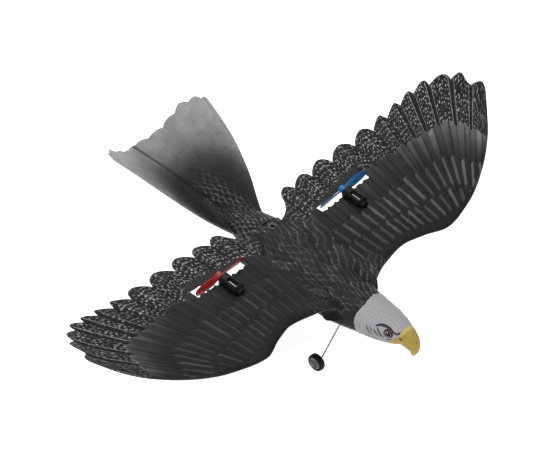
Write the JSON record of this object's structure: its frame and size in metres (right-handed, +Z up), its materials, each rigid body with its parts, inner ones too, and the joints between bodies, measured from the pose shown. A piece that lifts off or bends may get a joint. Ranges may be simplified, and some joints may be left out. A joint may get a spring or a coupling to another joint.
{
  "type": "bird-shaped foam glider with two propellers",
  "caption": "Radio-controlled foam glider shaped like a bald eagle in flight, with twin pusher propellers in wing slots, a V tail fan and a two-wheel landing gear.",
  "frame": {"origin": "on the ground, under the middle of the bounding box", "axes": "+Z up, -Y toward the beak, +X toward the bird's left wing tip"},
  "size_m": [0.5906, 0.44, 0.1501],
  "materials": {
    "charcoal_foam": "matte moulded foam",
    "white_foam": "matte painted foam",
    "beak_paint": "satin mustard paint",
    "carbon": "satin carbon rod",
    "black_plastic": "satin black",
    "red_plastic": "satin red",
    "blue_plastic": "satin blue",
    "steel": "drawn steel",
    "grey_plastic": "satin grey",
    "tyre": "matte rubber",
    "wire": "matte insulation",
    "board": "solder mask",
    "cell": "foil pouch",
    "lamp": "clear red"
  },
  "bodies": {
    "airframe": {"left_wing": "charcoal_foam", "right_wing": "charcoal_foam", "back_shell": "charcoal_foam", "belly_shell": "charcoal_foam", "tail_fan": "charcoal_foam", "head": "white_foam", "beak": "beak_paint", "left_spar": "carbon", "right_spar": "carbon", "back_eyelet": "black_plastic", "tail_socket": "black_plastic", "spar_joiner": "black_plastic", "left_motor_pod": "black_plastic", "right_motor_pod": "black_plastic", "control_tray": "black_plastic", "control_cover": "black_plastic", "charge_socket": "black_plastic", "switch_body": "black_plastic", "gear_block": "black_plastic", "left_motor": "steel", "right_motor": "steel", "left_gear_leg": "steel", "right_gear_leg": "steel", "cover_screws": "steel", "left_axle_cap": "grey_plastic", "right_axle_cap": "grey_plastic", "left_motor_lead": "wire", "right_motor_lead": "wire", "battery_lead": "wire", "circuit_board": "board", "battery": "cell", "status_lamp": "lamp"},
    "left_propeller_assembly": {"left_propeller": "blue_plastic", "left_motor_shaft": "steel"},
    "right_propeller_assembly": {"right_propeller": "red_plastic", "right_motor_shaft": "steel"},
    "left_wheel": {"left_wheel_hub": "grey_plastic", "left_tyre": "tyre"},
    "right_wheel": {"right_wheel_hub": "grey_plastic", "right_tyre": "tyre"},
    "power_switch": {"switch_slider": "grey_plastic"}
  },
  "joints": [
    {"name": "left_propeller_spin", "type": "hinge", "parent": "airframe", "child": "left_propeller_assembly", "pos_m": [0.0925, -0.017, 0.112], "axis": [0, 1, 0], "continuous": true},
    {"name": "left_wheel_spin", "type": "hinge", "parent": "airframe", "child": "left_wheel", "pos_m": [0.04, -0.1095, 0.01], "axis": [1, 0, 0], "continuous": true},
    {"name": "right_propeller_spin", "type": "hinge", "parent": "airframe", "child": "right_propeller_assembly", "pos_m": [-0.0925, -0.017, 0.112], "axis": [0, 1, 0], "continuous": true},
    {"name": "right_wheel_spin", "type": "hinge", "parent": "airframe", "child": "right_wheel", "pos_m": [-0.04, -0.1095, 0.01], "axis": [1, 0, 0], "continuous": true},
    {"name": "power_switch_slide", "type": "slide", "parent": "airframe", "child": "power_switch", "axis": [1, 0, 0], "range_m": [0, 0.0024]}
  ]
}
